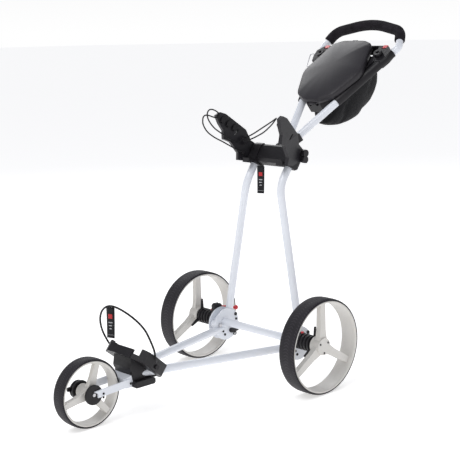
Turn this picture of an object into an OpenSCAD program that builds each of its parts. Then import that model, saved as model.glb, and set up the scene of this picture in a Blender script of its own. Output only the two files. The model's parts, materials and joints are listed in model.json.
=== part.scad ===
// Three-wheeled golf push trolley, folded out and standing on its wheels.
// +Z is up, -Y is forward (front wheel), +X is the trolley's left-hand side.
// The origin is on the ground, under the centre of the bounding box.

/* [Wheels] */
// Diameter of a rear tyre
rear_wheel_d = 300; // [280:5:320]
// Width of a rear tyre
rear_wheel_w = 60; // [50:2:64]
// Diameter of the front tyre
front_wheel_d = 203; // [190:1:210]
// Width of the front tyre
front_wheel_w = 46; // [40:1:48]
// Width over the outer faces of the rear wheels
track_w = 614; // [610:2:640]
// Distance between the rear and the front axle
wheel_base = 678; // [672:2:690]
// Depth of a tyre's rubber
tyre_t = 7; // [5:1:9]

/* [Frame] */
// Outer diameter of the frame and handle tubes
tube_d = 25; // [24:0.5:25.5]
// Wall of the tubes
tube_wall = 1.6; // [1.2:0.1:3]
// Radius of the upright tubes' bend
upright_bend_r = 110; // [80:5:130]

/* [Handle] */
// Slope of the handle above the horizontal
handle_slope = 39.8; // [38:0.2:41]
// Outer diameter of the foam grip
grip_d = 36; // [32:1:40]

/* [Console] */
// Wall of the console's mouldings
shell_t = 3; // [2:0.5:4]
// Thickness of the storage pouch's cloth
cloth_t = 2; // [1.5:0.5:3]

/* [Bag cords] */
// Diameter of the lower elastic cord
lower_cord_d = 6; // [5:0.5:7]
// Diameter of the upper elastic cords
upper_cord_d = 4.4; // [4:0.2:5]

/* [Hidden] */

$fn = 64;

// Colours
tube_white = "#dde0ea";
rim_white = "#dedad3";
tyre_grey = "#302d34";
black_plastic = "#232026";
lid_grey = "#4b4852";
foam_black = "#28242a";
cloth_black = "#121114";
signal_red = "#e1232d";
steel_grey = "#9a9ca2";

// Places shared by several parts, with the rear axle at y = 0. The grip is back_reach behind it.
back_reach = 599.8;
origin_shift_y = (wheel_base + front_wheel_d / 2 - back_reach) / 2;
tube_r = tube_d / 2;
axle_z = rear_wheel_d / 2;
rear_wheel_x = (track_w - rear_wheel_w) / 2;
front_axle = [0, -wheel_base, front_wheel_d / 2];
running_gap = 0.05;
socket_gap = 0.1;

// The clevis at each rear corner: two plates with the upright's foot between them
plate_in_x = 149;
plate_t = 4;
foot_in_x = plate_in_x + plate_t + 0.8;
foot_t = 24;
plate_out_x = foot_in_x + foot_t + 0.8;
plate_c = [12, 136];
plate_r = 54;
fold_pivot = [-21, 139];
pivot_r = 4;
cross_tube_z = 147;

// Lower tubes run from the fork to the rear corners and spread to the rear
lower_front = [24, -519, 125.6];
lower_rear = [163, 10, 122.4];

// Uprights: foot, bend and upper end
upright_foot = [166.4, 32.6, 150];
crossbar_c = [0, 106, 716];
crossbar_tilt = -34.54;
upright_x = 75.7;
upper_run = 116.4;
upright_dir = [0, -sin(crossbar_tilt), cos(crossbar_tilt)];
upright_bend = crossbar_c + [upright_x, 0, 0] - upper_run * upright_dir;
tube_stop = 12;

// Bag cradle's tilting axis and the handle's folding axis, in the crossbar's own frame
cradle_axis = [5, 0];
handle_axis = [23.5, 31.1];
cradle_shaft_r = 4;
handle_pin_r = 5;

// Handle frame: origin on the folding axis, y up the handle, z out of its face
handle_pivot = [0, 143, 728.3];
tube_spread = 0.338;
sleeve_r = 17;
block_end = 56;
tube_start = 44;
bow_side = [166.5, 492, 0];
bow_corner = [141, 558, 13];
bow_top = [0, 595, 20];
lid_axis = [190, 20];

// Elastic cord routes, as points in the trolley's axle frame
lower_cord_route = [
    [90, -498, 184], [97, -504, 196], [103, -512, 212], [106, -520, 228], [106, -529, 248],
    [100, -538, 272], [88, -546, 290], [70, -552, 304], [46, -557, 316], [20, -560, 324],
    [-6, -561, 328], [-32, -560, 327], [-58, -556, 319], [-82, -551, 305], [-102, -544, 287],
    [-117, -536, 265], [-126, -527, 243], [-130, -517, 220], [-128, -507, 198], [-120, -499, 178],
    [-108, -494, 164], [-92, -491, 156]
];
strap_route = [
    [-90, 54, 764], [-72, 48, 770], [-50, 42, 777], [-24, 35, 787], [6, 26, 799], [36, 17, 811],
    [66, 8, 823], [92, -2, 833], [108, -9, 839], [117, -16, 841], [119, -23, 836], [114, -26, 828],
    [102, -21, 821], [88, -13, 815], [70, -4, 807], [50, 5, 798], [28, 14, 789], [2, 23, 780],
    [-24, 31, 771], [-50, 38, 763], [-72, 43, 757], [-90, 47, 755]
];
loop_route = [
    [-99, 53, 756], [-101, 40, 753], [-102, 26, 752], [-104, 12, 756], [-106, -2, 763],
    [-108, -15, 772], [-112, -40, 788], [-115, -57, 800], [-118, -70, 814], [-121, -79, 829],
    [-123, -82, 842], [-125, -79, 853], [-127, -70, 860], [-129, -57, 861], [-130, -43, 857],
    [-131, -31, 851], [-131, -27, 845], [-131, -28, 838], [-131, -34, 834], [-130, -43, 834],
    [-129, -54, 837], [-128, -66, 841], [-127, -78, 844], [-126, -90, 844], [-124, -99, 839],
    [-122, -103, 829], [-121, -103, 818], [-119, -97, 804], [-117, -87, 791], [-115, -73, 780],
    [-114, -52, 768], [-112, -31, 758], [-107, 2, 740], [-103, 24, 728], [-99, 44, 718]
];

// ---- helpers ---------------------------------------------------------------

function unit(v) = v / norm(v);
function xflip(p) = [-p[0], p[1], p[2]];

// Everything is drawn with the rear axle at y = 0 and moved here to its origin
module placed() {
    translate([0, origin_shift_y, 0]) children();
}

// Mirrors a left-hand part to the right-hand side
module other_side() {
    mirror([1, 0, 0]) children();
}

module both_sides() {
    children();
    mirror([1, 0, 0]) children();
}

// A round bar from point a to point b
module rod(a, b, r) {
    d = b - a;
    translate(a)
        rotate([0, acos(d[2] / norm(d)), atan2(d[1], d[0])])
            cylinder(h = norm(d), r = r);
}

// A round bar along X between two x values, at (y, z)
module xrod(x0, x1, at, r) {
    translate([x0, at[0], at[1]]) rotate([0, 90, 0]) cylinder(h = x1 - x0, r = r);
}

// An outline in the YZ plane, given as (y, z), made thick along X from x0 to x1
module yz_plate(x0, x1) {
    translate([x0, 0, 0]) rotate([90, 0, 90]) linear_extrude(x1 - x0) children();
}

// The bend of a bar of radius r at corner b of the path a, b, c
module elbow(a, b, c, bend_r, r) {
    d1 = unit(b - a);
    d2 = unit(c - b);
    turn = acos(d1 * d2);
    n = unit(d2 - (d2 * d1) * d1);
    m = cross(-n, d1);
    o = b - bend_r * tan(turn / 2) * d1 + bend_r * n;
    multmatrix([
        [-n[0], d1[0], m[0], o[0]],
        [-n[1], d1[1], m[1], o[1]],
        [-n[2], d1[2], m[2], o[2]],
        [0, 0, 0, 1]
    ])
        rotate_extrude(angle = turn) translate([bend_r, 0]) circle(r);
}

// How far a bend reaches along each leg from corner i of path p
function bend_reach(p, radii, i) =
    (i == 0 || i == len(p) - 1) ? 0
    : radii[i] * tan(acos(unit(p[i] - p[i - 1]) * unit(p[i + 1] - p[i])) / 2);

// A round bar along path p with a bend of radii[i] at each inner corner. The bends are a
// hair thicker, so the straight lengths can reach a little way into them.
bend_skin = 0.05;
bend_lap = 0.2;

module bent_bar(p, radii, r) {
    n = len(p);
    for (i = [0 : n - 2]) {
        d = unit(p[i + 1] - p[i]);
        start = bend_reach(p, radii, i) - (i == 0 ? 0 : bend_lap);
        end = bend_reach(p, radii, i + 1) - (i == n - 2 ? 0 : bend_lap);
        rod(p[i] + start * d, p[i + 1] - end * d, r);
    }
    for (i = [1 : n - 2]) elbow(p[i - 1], p[i], p[i + 1], radii[i], r + bend_skin);
}

// The same path with both ends drawn out, to cut the bore of a tube through its ends
function drawn_out(p, by) = [
    for (i = [0 : len(p) - 1])
        i == 0 ? p[0] - by * unit(p[1] - p[0])
        : i == len(p) - 1 ? p[i] + by * unit(p[i] - p[i - 1])
        : p[i]
];

module bent_tube(p, radii) {
    difference() {
        bent_bar(p, radii, tube_r);
        bent_bar(drawn_out(p, 1), radii, tube_r - tube_wall);
    }
}

// A soft cord: one closed skin swept along a route of points
function route_dir(p, i) = unit(p[min(i + 1, len(p) - 1)] - p[max(i - 1, 0)]);
function ring_side(t) = unit(cross(t, abs(t[2]) > 0.9 ? [0, 1, 0] : [0, 0, 1]));

// The ring's first direction is carried along the route, so the skin does not twist
function carried(p, i) =
    i == 0 ? ring_side(route_dir(p, 0))
    : let (t = route_dir(p, i), s = carried(p, i - 1)) unit(s - (s * t) * t);

module cord(p, r, sides = 8) {
    n = len(p);
    points = [
        for (i = [0 : n - 1])
            let (t = route_dir(p, i), u = carried(p, i), v = cross(t, u))
            for (k = [0 : sides - 1])
                p[i] + r * (cos(360 * k / sides) * u + sin(360 * k / sides) * v)
    ];
    walls = [
        for (i = [0 : n - 2])
            for (k = [0 : sides - 1])
                let (k2 = (k + 1) % sides)
                [i * sides + k, (i + 1) * sides + k, (i + 1) * sides + k2, i * sides + k2]
    ];
    first = [for (k = [0 : sides - 1]) k];
    last = [for (k = [sides - 1 : -1 : 0]) (n - 1) * sides + k];
    polyhedron(points, concat([first], walls, [last]));
}

// A bolt's head or nut on a face at x, at (y, z), pointing outwards along out
module bolt_head(x, at, out, head_r, head_h) {
    translate([x, at[0], at[1]]) rotate([0, 90 * out, 0]) cylinder(h = head_h, r = head_r);
}

// ---- wheels ----------------------------------------------------------------

// Half of a tyre's section, as (radius, offset from the wheel's middle plane)
function tyre_half(r, w) = [
    [r - tyre_t, w / 2 - 3], [r - tyre_t + 1.5, w / 2], [r - 3.5, w / 2],
    [r - 1.6, w / 2 - 2.5], [r - 0.5, w / 2 - 8], [r, w / 2 - 18]
];
function mirrored(h) = [for (i = [len(h) - 1 : -1 : 0]) [h[i][0], -h[i][1]]];

module tyre(at, r, w) {
    translate(at) rotate([0, 90, 0])
        rotate_extrude($fn = 96) polygon(concat(tyre_half(r, w), mirrored(tyre_half(r, w))));
}

// A barrel rim with three spokes. The hub's outer face looks towards +X.
module rim(at, r, w, hub_r, hub_x0, hub_x1, bore_r, spoke_w, spoke_d, first_angle) {
    seat_r = r - tyre_t - 0.1;
    barrel_t = 6;
    translate(at) difference() {
        union() {
            rotate([0, 90, 0]) rotate_extrude($fn = 96) polygon([
                [seat_r - barrel_t, -w / 2 + 4], [seat_r - 3, -w / 2 + 0.5],
                [seat_r, -w / 2 + 0.5], [seat_r, w / 2 - 0.5],
                [seat_r - 3, w / 2 - 0.5], [seat_r - barrel_t, w / 2 - 4]
            ]);
            xrod(hub_x0, hub_x1, [0, 0], hub_r);
            for (k = [0 : 2]) rotate([first_angle + 120 * k, 0, 0])
                yz_plate(hub_x1 - 5 - spoke_d, hub_x1 - 5) polygon([
                    [-spoke_w * 0.75, hub_r * 0.5], [spoke_w * 0.75, hub_r * 0.5],
                    [spoke_w * 0.5, hub_r + 26], [spoke_w * 0.42, seat_r - barrel_t + 3],
                    [-spoke_w * 0.42, seat_r - barrel_t + 3], [-spoke_w * 0.5, hub_r + 26]
                ]);
        }
        children();
    }
}

rear_hub_in = 262 - rear_wheel_x;
rear_hub_out = 298 - rear_wheel_x;
bearing_r = 14;
bearing_w = 8;
stub_r = 6;
hub_wall = 5;
spider_t = 4.5;
brake_pin_at_r = 17;
rear_wheel_at = [rear_wheel_x, 0, axle_z];

module rear_rim() {
    color(rim_white)
        rim(rear_wheel_at, rear_wheel_d / 2, rear_wheel_w, 27, rear_hub_in, rear_hub_out,
            bearing_r, 24, 17, 0) {
            xrod(rear_hub_in - 1, rear_hub_in + bearing_w, [0, 0], bearing_r);
            xrod(rear_hub_in, rear_hub_out - hub_wall, [0, 0], 9);
            xrod(rear_hub_out - hub_wall - bearing_w, rear_hub_out - hub_wall, [0, 0], bearing_r);
            for (k = [0 : 2]) rotate([60 + 120 * k, 0, 0])
                xrod(rear_hub_out - 4, rear_hub_out + 1, [0, 20], 2.2);
        }
}

module rear_hub_screws() {
    color(black_plastic)
        for (k = [0 : 2])
            translate(rear_wheel_at) rotate([60 + 120 * k, 0, 0]) {
                xrod(rear_hub_out - 4, rear_hub_out + 0.5, [0, 20], 2.2);
                xrod(rear_hub_out, rear_hub_out + 1.2, [0, 20], 3.2);
            }
}

// Black three-armed star on the inner side of the hub, with a ring of holes for the brake pin
module rear_spider() {
    arm_tip = 57;
    holes = 12;
    color(black_plastic) translate(rear_wheel_at)
        yz_plate(rear_hub_in - spider_t, rear_hub_in - 0.1) difference() {
            union() {
                circle(24);
                for (k = [0 : 2]) rotate(120 * k)
                    polygon([[-7, 10], [7, 10], [3, arm_tip], [-3, arm_tip]]);
            }
            circle(9);
            for (k = [0 : holes - 1])
                rotate(360 / holes * k) translate([brake_pin_at_r, 0]) circle(3.2);
        }
}

module bearing(x0, at, bore) {
    difference() {
        xrod(x0, x0 + bearing_w, at, bearing_r);
        xrod(x0 - 1, x0 + bearing_w + 1, at, bore);
    }
}

module rear_bearings() {
    x = rear_wheel_x;
    color(steel_grey) {
        bearing(x + rear_hub_in, [0, axle_z], stub_r + running_gap);
        bearing(x + rear_hub_out - hub_wall - bearing_w, [0, axle_z], stub_r + running_gap);
    }
}

front_hub_half = 23.5;
front_axle_r = 5;

module front_tyre() {
    placed() color(tyre_grey) tyre(front_axle, front_wheel_d / 2, front_wheel_w);
}

module front_rim() {
    placed() color(rim_white)
        rim(front_axle, front_wheel_d / 2, front_wheel_w, 22, -front_hub_half, front_hub_half,
            bearing_r, 19, 15, -18) {
            xrod(-front_hub_half - 1, -front_hub_half + bearing_w, [0, 0], bearing_r);
            xrod(-front_hub_half, front_hub_half, [0, 0], 9);
            xrod(front_hub_half - bearing_w, front_hub_half + 1, [0, 0], bearing_r);
        }
}

module front_bearings() {
    at = [front_axle[1], front_axle[2]];
    placed() color(steel_grey) {
        bearing(-front_hub_half, at, front_axle_r + running_gap);
        bearing(front_hub_half - bearing_w, at, front_axle_r + running_gap);
    }
}

module rear_tyre_left() {
    placed() color(tyre_grey) tyre(rear_wheel_at, rear_wheel_d / 2, rear_wheel_w);
}
module rear_tyre_right() {
    placed() color(tyre_grey) other_side() tyre(rear_wheel_at, rear_wheel_d / 2, rear_wheel_w);
}
module rear_rim_left() {
    placed() rear_rim();
}
module rear_rim_right() {
    placed() other_side() rear_rim();
}
module rear_spider_left() {
    placed() rear_spider();
}
module rear_spider_right() {
    placed() other_side() rear_spider();
}
module rear_bearings_left() {
    placed() rear_bearings();
}
module rear_bearings_right() {
    placed() other_side() rear_bearings();
}
module rear_hub_screws_left() {
    placed() rear_hub_screws();
}
module rear_hub_screws_right() {
    placed() other_side() rear_hub_screws();
}

// ---- lower frame -----------------------------------------------------------

module plate_outline() {
    difference() {
        translate(plate_c) circle(plate_r);
        translate(fold_pivot) circle(pivot_r);
    }
}

module joint_plates() {
    color(tube_white) {
        yz_plate(plate_in_x, plate_in_x + plate_t) plate_outline();
        yz_plate(plate_out_x, plate_out_x + plate_t) plate_outline();
    }
}

module joint_plates_left() {
    placed() joint_plates();
}
module joint_plates_right() {
    placed() other_side() joint_plates();
}

pivot_head_r = 6.5;
pivot_head_h = 4.5;
bolt_head_h = 2.5;
head_gap = 0.4;

// The heads of the two upper bolts are the larger ones
function plate_bolt_r(at) = at[1] > 160 ? 6 : 4;

// The tube's rear end is cut to the inner joint plate, which it is welded to, and round the
// heads of the bolts there
module lower_tube() {
    along = unit(lower_rear - lower_front);
    color(tube_white) difference() {
        rod(lower_front, lower_rear, tube_r);
        rod(lower_front - 2 * along, lower_rear + 2 * along, tube_r - tube_wall);
        xrod(plate_in_x, plate_out_x, plate_c, plate_r);
        xrod(plate_in_x - pivot_head_h - head_gap, plate_in_x + 1, fold_pivot, pivot_head_r + head_gap);
        for (at = plate_bolts)
            xrod(plate_in_x - bolt_head_h - head_gap, plate_in_x + 1, at, plate_bolt_r(at) + head_gap);
    }
}

module lower_tube_left() {
    placed() lower_tube();
}
module lower_tube_right() {
    placed() other_side() lower_tube();
}

module cross_tube() {
    reach = plate_in_x - 0.05;
    placed() color(tube_white) difference() {
        xrod(-reach, reach, [0, cross_tube_z], tube_r);
        xrod(-reach - 1, reach + 1, [0, cross_tube_z], tube_r - tube_wall);
    }
}

// Places of the bolts that hold the joint plates apart, as (y, z)
plate_bolts = [[-7, 114.6], [1, 101.8], [51.5, 164], [53.5, 147]];
lever_stud = [28, 112];
lever_stud_r = 3;

module frame_bolts() {
    arm_bolts = [[-650, 100.8], [-651, 90.5]];
    placed() color(black_plastic) {
        both_sides() {
            for (at = plate_bolts) {
                head_r = plate_bolt_r(at);
                bolt_head(plate_in_x, at, -1, head_r, bolt_head_h);
                bolt_head(plate_out_x + plate_t, at, 1, head_r, bolt_head_h);
                xrod(plate_in_x + plate_t, plate_out_x, at, 2.5);
            }
            xrod(plate_in_x - 9, plate_in_x, lever_stud, lever_stud_r);
            bolt_head(fork_x + fork_t, [-552, 107], 1, 3.4, 1.6);
        }
        for (at = arm_bolts) bolt_head(fork_x + fork_t, at, 1, 3.4, 1.6);
    }
}

// Turned steel shafts that the frame holds: rear stub axles, front axle, folding bolts and
// the brake pedal's pin
module axles_and_pivots() {
    flange_x = plate_out_x + plate_t;
    placed() color(steel_grey) {
        both_sides() {
            xrod(flange_x, 292, [0, axle_z], stub_r);
            xrod(flange_x, flange_x + 3, [0, axle_z], 13);
            xrod(plate_in_x - 2, flange_x + 2, fold_pivot, pivot_r);
            xrod(plate_in_x - pivot_head_h, plate_in_x, fold_pivot, pivot_head_r);
            xrod(flange_x, flange_x + pivot_head_h, fold_pivot, pivot_head_r);
        }
        xrod(-44, fork_x, front_axle_at, front_axle_r);
        other_side() xrod(box_x0, box_x1, pedal_pivot, pedal_pin_r);
    }
}

fork_x = 36;
fork_t = 5;
front_axle_at = [front_axle[1], front_axle[2]];

// Solid part of the fork that joins the lower tubes
module fork_body() {
    yz_plate(-fork_x - 2, fork_x + 2) polygon([
        [-512, 104], [-512, 135], [-556, 127], [-572, 122], [-572, 98], [-566, 94], [-530, 94]
    ]);
}

module fork() {
    placed() color(tube_white) difference() {
        union() {
            fork_body();
            both_sides() yz_plate(fork_x, fork_x + fork_t) polygon([
                [-552, 99], [-552, 117], [-560, 120], [-664, 113.5], [-681, 112],
                [-668, 104], [-668, 92], [-570, 97]
            ]);
        }
        both_sides() rod(lower_front, lower_rear, tube_r);
    }
}

// Black discs between the fork arms and the front hub, which hold the axle
module front_dropouts() {
    placed() color(black_plastic) both_sides() difference() {
        union() {
            xrod(28, fork_x, front_axle_at, 29);
            xrod(25, 28.5, front_axle_at, 12);
        }
        xrod(20, 40, front_axle_at, front_axle_r);
    }
}

dial_gap = 0.3;

// Disc on the fork's right arm that trims the front wheel's tracking
module tracking_dial() {
    x0 = -fork_x - fork_t - dial_gap;
    placed() color(black_plastic) difference() {
        union() {
            xrod(x0 - 6, x0, front_axle_at, 27);
            translate([0, front_axle_at[0], front_axle_at[1]]) yz_plate(x0 - 5.5, x0 - 0.5)
                polygon([[-20, -4], [-37, 1], [-37, 11], [-18, 14]]);
            xrod(x0 - 9, x0 - 5.5, front_axle_at, 12);
        }
        xrod(x0 - 3.2, x0 + 1, front_axle_at, front_axle_r + running_gap);
    }
}

// Ribbed housing on the stub axle, with a well on top for the wheel's release button
housing_x0 = 190;
housing_x1 = 256;
housing_r = 26;
button_x = 207;
button_r = 5;
button_travel = 4;
button_seat = 11;
column_r = button_r + 4;

module axle_housing() {
    ribs = 5;
    rib_pitch = 13.5;
    color(black_plastic) difference() {
        union() {
            xrod(housing_x0, housing_x1, [0, axle_z], housing_r - 3);
            for (k = [0 : ribs - 1])
                translate([housing_x0 + 2.5 + rib_pitch * k, 0, 0])
                    xrod(0, 7, [0, axle_z], housing_r);
            translate([button_x, 0, axle_z]) cylinder(h = housing_r + 0.5, r = column_r);
        }
        xrod(housing_x0 - 1, housing_x1 + 1, [0, axle_z], stub_r);
        translate([button_x, 0, axle_z + button_seat]) cylinder(h = 40, r = button_r + 0.3);
        children();
    }
}

module axle_housing_left() {
    placed() axle_housing();
}
// The right-hand housing is bored for the brake pin
module axle_housing_right() {
    placed() other_side() axle_housing()
        xrod(housing_x0 - 1, housing_x1 + 1, brake_pin_at, brake_pin_r + running_gap);
}

module release_button() {
    color(signal_red) translate([button_x, 0, axle_z + button_seat + button_travel + 1])
        cylinder(h = housing_r - button_seat, r = button_r);
}

module wheel_release_left() {
    placed() release_button();
}
module wheel_release_right() {
    placed() other_side() release_button();
}

// Cam lever under each rear joint, on a stud in the inner joint plate
module fold_lever() {
    x1 = plate_in_x - 0.4;
    color(black_plastic) difference() {
        union() {
            xrod(x1 - 8, x1, lever_stud, 7.5);
            yz_plate(x1 - 7, x1 - 1) polygon([
                [24, 118], [40, 119], [57, 113], [59, 107], [44, 105], [24, 105]
            ]);
            xrod(x1 - 5, x1 - 2, [44, 99], 7);
        }
        xrod(x1 - 20, x1 + 1, lever_stud, lever_stud_r + running_gap);
        xrod(x1 - 20, x1 + 1, [44, 98], 4);
    }
}

module fold_lever_left() {
    placed() fold_lever();
}
module fold_lever_right() {
    placed() other_side() fold_lever();
}

// ---- foot brake on the right-hand side, drawn on the left and mirrored ------

brake_pin_at = [brake_pin_at_r * cos(30), axle_z + brake_pin_at_r * sin(30)];
brake_pin_r = 2.5;
pedal_x0 = 187;
pedal_w = 9;
pedal_pivot = [12, 184];
pedal_pin_r = 2.5;
box_x0 = 184.3;
box_x1 = 199;

// Box on the axle housing whose two cheeks carry the pedal's pin
module brake_box() {
    placed() other_side() color(black_plastic) difference() {
        yz_plate(box_x0, box_x1) polygon([
            [-9, 164], [20, 164], [23, 180], [22, 196], [15, 202], [-5, 203], [-12, 197],
            [-12, 172]
        ]);
        translate([pedal_x0 - 0.4, 4.3, 150]) cube([pedal_w + 0.8, 40, 80]);
        xrod(pedal_x0 - 0.4, pedal_x0 + pedal_w + 0.4, pedal_pivot, 7.6);
        xrod(150, housing_x1 + 1, brake_pin_at, brake_pin_r + 0.5);
        xrod(150, housing_x1 + 1, [0, axle_z], housing_r + 0.02);
        xrod(150, housing_x1 + 1, pedal_pivot, pedal_pin_r);
        translate([button_x, 0, axle_z]) cylinder(h = 60, r = column_r + 0.1);
    }
}

// Sliding pin that catches a hole of the right wheel's spider
module brake_pin() {
    placed() other_side() color(steel_grey) xrod(186, 254, brake_pin_at, brake_pin_r);
}

// Red lever with a ball at its end, pushed down by the foot
module brake_pedal() {
    placed() other_side() color(signal_red) difference() {
        union() {
            xrod(pedal_x0, pedal_x0 + pedal_w, pedal_pivot, 7);
            yz_plate(pedal_x0, pedal_x0 + pedal_w) polygon([
                [12, 178], [30, 174], [60, 175], [88, 168], [88, 175], [62, 184], [36, 189], [12, 191]
            ]);
            translate([pedal_x0 + 1, 91, 172]) sphere(8);
        }
        xrod(150, 260, pedal_pivot, pedal_pin_r + running_gap);
    }
}

// ---- lower bag bracket ------------------------------------------------------

bracket_at = [0, -440, 115];
bracket_tilt = -38;

module in_bracket() {
    translate(bracket_at) rotate([bracket_tilt, 0, 0]) children();
}

// Tilted tray that the bag's base rests on, and its saddle over the fork and lower tubes
module lower_bracket() {
    placed() color(black_plastic) difference() {
        union() {
            in_bracket() {
                translate([0, 0, -15]) linear_extrude(15) polygon([
                    [-50, -140], [50, -140], [90, -117], [90, -84], [76, -20], [50, 0],
                    [-50, 0], [-76, -20], [-90, -84], [-90, -117]
                ]);
                both_sides() {
                    translate([0, 0, -15]) linear_extrude(37) polygon([
                        [90, -117], [90, -84], [76, -20], [66, -20], [78, -84], [80, -112],
                        [62, -122], [72, -128]
                    ]);
                    xrod(82, 92, [-64, -2], 7);
                }
                translate([-52, -143, -15]) cube([104, 7, 26]);
                translate([-50, -7, -15]) cube([100, 7, 21]);
            }
            both_sides() rod([86, -494, 168], [90, -498, 184], 5);
            yz_plate(-40, 40) polygon([
                [-450, 106], [-450, 118], [-475, 140], [-545, 190], [-552, 150], [-540, 106]
            ]);
            yz_plate(-55, 55) polygon([
                [-474, 92], [-470, 96], [-470, 107], [-474, 110.5], [-541, 110.5], [-545, 107],
                [-545, 96], [-541, 92]
            ]);
        }
        both_sides() rod(lower_front, lower_rear, tube_r);
        fork_body();
        both_sides() translate([fork_x, -700, 80]) cube([fork_t, 154, 60]);
    }
}

module lower_cord() {
    placed() color(black_plastic) cord(lower_cord_route, lower_cord_d / 2);
}

// Woven pull tag, looped over a cord at its top end
module tag(at, turn, w, l) {
    translate(at) rotate([0, 0, turn]) translate([-w / 2, -1.2, -l]) cube([w, 2.4, l]);
}

module lower_tag() {
    placed() color(cloth_black) tag([-32, -560, 323.9], 20, 26, 92);
}

// ---- uprights ----------------------------------------------------------------

// Where the upright's tube ends inside the crossbar, measured along its upper part
function on_upright(z_local) = [
    upright_x,
    crossbar_c[1] + z_local * upright_dir[1],
    crossbar_c[2] + z_local * upright_dir[2]
];

// The tube leans inwards, so it is cut away where the joint plates pass it
module upright() {
    color(tube_white) difference() {
        bent_tube([upright_foot, upright_bend, on_upright(-tube_stop)], [0, upright_bend_r, 0]);
        xrod(100, foot_in_x, plate_c, plate_r + 0.6);
        xrod(foot_in_x + foot_t, 220, plate_c, plate_r + 0.6);
    }
}

module upright_left() {
    placed() upright();
}
module upright_right() {
    placed() other_side() upright();
}

// Solid feet that carry the uprights on their folding bolts, between the joint plates
module upright_feet() {
    placed() color(tube_white) both_sides() difference() {
        union() {
            xrod(foot_in_x, foot_in_x + foot_t, fold_pivot, 15);
            yz_plate(foot_in_x, foot_in_x + foot_t) polygon([
                [-21, 154], [-21, 130], [20, 128], [33, 128], [33, 178], [16, 182]
            ]);
        }
        xrod(100, 220, fold_pivot, pivot_r + running_gap);
        rod(upright_foot, upright_bend, tube_r);
    }
}

// ---- crossbar between the uprights' upper ends --------------------------------

module in_crossbar() {
    translate(crossbar_c) rotate([crossbar_tilt, 0, 0]) children();
}

collar_x0 = 58;
collar_x1 = 93;
ear_x0 = 17;
ear_x1 = 29;
knuckle_r = 14;

module crossbar() {
    placed() color(black_plastic) in_crossbar() difference() {
        union() {
            yz_plate(-62, 62) polygon([
                [-20, -32], [-12, -42], [12, -42], [20, -32], [20, 12], [12, 22], [-12, 22],
                [-20, 14]
            ]);
            both_sides() {
                yz_plate(collar_x0, collar_x1) polygon([
                    [-24, -42], [-16, -48], [16, -48], [24, -40], [24, 14], [15, 24], [-15, 24],
                    [-24, 14]
                ]);
                yz_plate(collar_x0 + 3, 89) polygon([[-22, -40], [-47, -50], [-40, -63], [-16, -47.5]]);
                yz_plate(ear_x0, ear_x1) polygon([
                    [0, 10], [19, 10], [27, 17], handle_axis + [15, 0], handle_axis - [15, 0],
                    [0, 24]
                ]);
                xrod(ear_x0, ear_x1, handle_axis, 16);
            }
        }
        both_sides()
            translate([upright_x, 0, -80]) cylinder(h = 80 - tube_stop, r = tube_r + socket_gap);
        xrod(-100, 100, cradle_axis, cradle_shaft_r + running_gap);
        xrod(-40, 40, handle_axis, handle_pin_r);
        xrod(-ear_x0, ear_x0, handle_axis, knuckle_r + 1.5);
    }
}

module handle_pin() {
    placed() color(steel_grey) in_crossbar() {
        xrod(-ear_x1 - 2, ear_x1 + 2, handle_axis, handle_pin_r);
        xrod(ear_x1, ear_x1 + 4, handle_axis, 8);
        xrod(-ear_x1 - 4, -ear_x1, handle_axis, 8);
    }
}

module upper_tag() {
    placed() color(cloth_black) tag([-48, 80, 673], 22, 24, 90);
}

// ---- tilting bag cradle --------------------------------------------------------

arm_x = 94;
arm_t = 13;
arm_lean = 13;
arm_turn_y = -5;
hook_at = [-62, 8];

// Side view of a cradle arm: y runs from the bag towards the crossbar
arm_outline = [
    [-5, 20], [-38, 20], [-68, 41], [-159, 47], [-181, 41], [-190, 24], [-168, 7], [-143, -5],
    [-129, -29], [-101, -24], [-60, -40], [-49, -61], [-20, -48], [-5, -30]
];

module in_arm() {
    translate([arm_x, arm_turn_y, 0]) rotate([0, 0, arm_lean]) translate([0, -arm_turn_y, 0])
        children();
}

// Arm that leans outwards to its tip, with a cord hook on its inner face
module cradle_arm() {
    color(black_plastic) in_crossbar() difference() {
        union() {
            xrod(arm_x, arm_x + arm_t, cradle_axis, 20);
            in_arm() yz_plate(0, arm_t) polygon(arm_outline);
            yz_plate(arm_x, arm_x + arm_t) polygon([[-14, 19], [8, 19], [8, -20], [-14, -34]]);
            xrod(92.9, 110, hook_at, 6);
            xrod(90, 93, hook_at, 15);
        }
        xrod(50, 150, cradle_axis, cradle_shaft_r);
        in_arm() yz_plate(-1, arm_t + 1) polygon([[-101, 4], [-96, 4], [-93, 26], [-98, 26]]);
    }
}

module cradle_arm_left() {
    placed() cradle_arm();
}
module cradle_arm_right() {
    placed() other_side() cradle_arm();
}

toggle_r = 5;
toggle_l = 10;

// Raised rubber blocks that grip the bag, and the toggle on the end of the right-hand cord
module cradle_fittings() {
    end = loop_route[len(loop_route) - 1];
    before = loop_route[len(loop_route) - 2];
    placed() color(black_plastic) {
        both_sides() in_crossbar() in_arm()
            for (y = [-160, -135, -110])
                yz_plate(-7, 0) polygon([
                    [y - 8, 14], [y + 2, 12], [y + 8, 20], [y + 6, 34], [y - 4, 36], [y - 10, 26]
                ]);
        rod(end, end + toggle_l * unit(end - before), toggle_r);
    }
}

module cradle_shaft() {
    end_x = arm_x + arm_t;
    placed() color(steel_grey) in_crossbar() {
        xrod(-end_x, end_x + 15, cradle_axis, cradle_shaft_r);
        xrod(-end_x - 4, -end_x, cradle_axis, 9);
    }
}

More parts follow.
